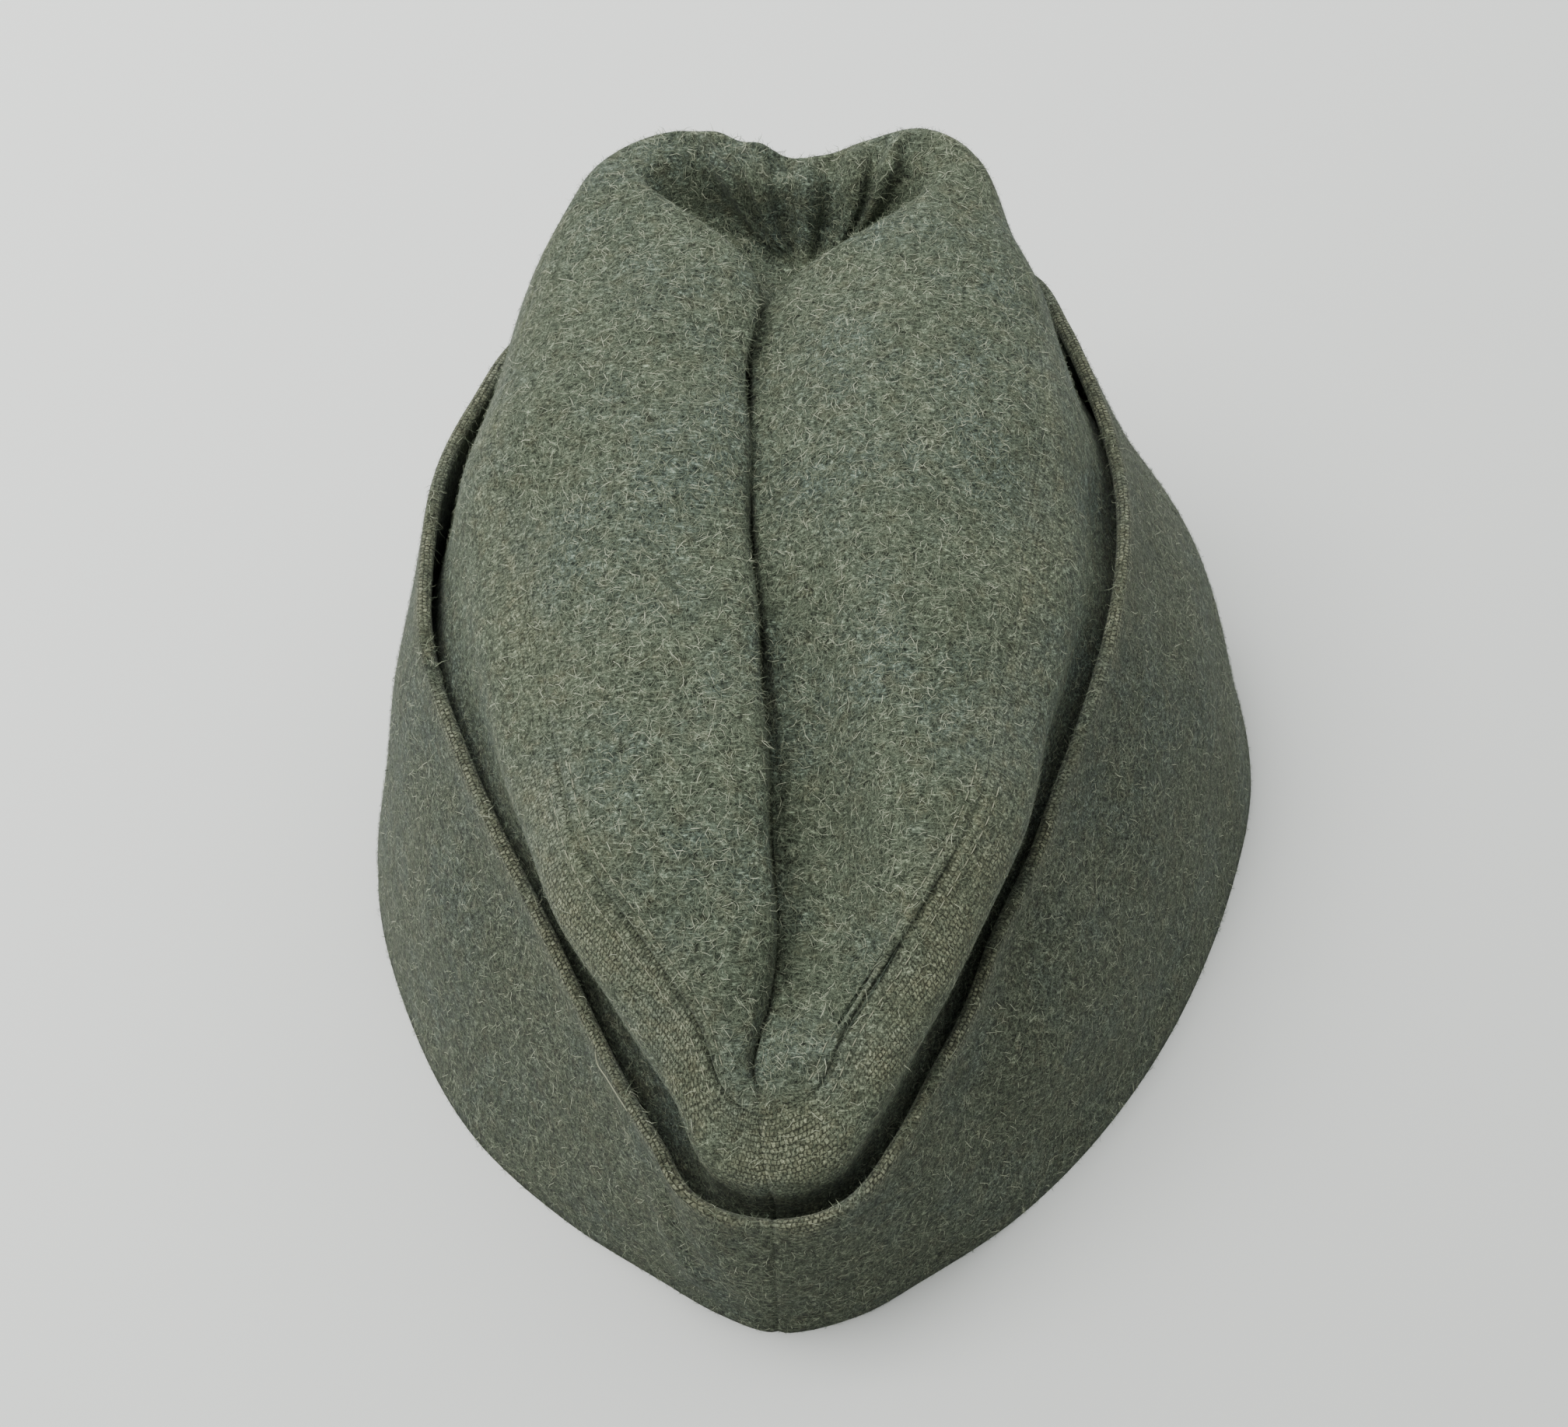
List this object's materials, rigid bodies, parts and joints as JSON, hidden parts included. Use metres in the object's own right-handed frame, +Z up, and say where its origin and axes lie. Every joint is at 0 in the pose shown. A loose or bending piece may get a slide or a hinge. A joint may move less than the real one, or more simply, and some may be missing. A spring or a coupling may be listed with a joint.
{
  "type": "garrison cap",
  "caption": "Soft cloth side cap with a creased crown, a gathered hollow at the front of the crease and a doubled turn-up all round.",
  "frame": {"origin": "on the floor under the middle of the cap's box, in the plane of the rim", "axes": "+Z up, the front of the cap towards -Y, the wearer's left towards +X"},
  "size_m": [0.1826, 0.2258, 0.1196],
  "materials": {
    "crown_cloth": "matt brushed grey-green wool",
    "turn_up_cloth": "matt brushed grey-green wool, worn brown at the folded edge"
  },
  "bodies": {
    "root": {"crown_side_right": "crown_cloth", "crown_side_left": "crown_cloth", "crown_top": "crown_cloth", "turn_up_right": "turn_up_cloth", "turn_up_left": "turn_up_cloth"}
  },
  "joints": []
}
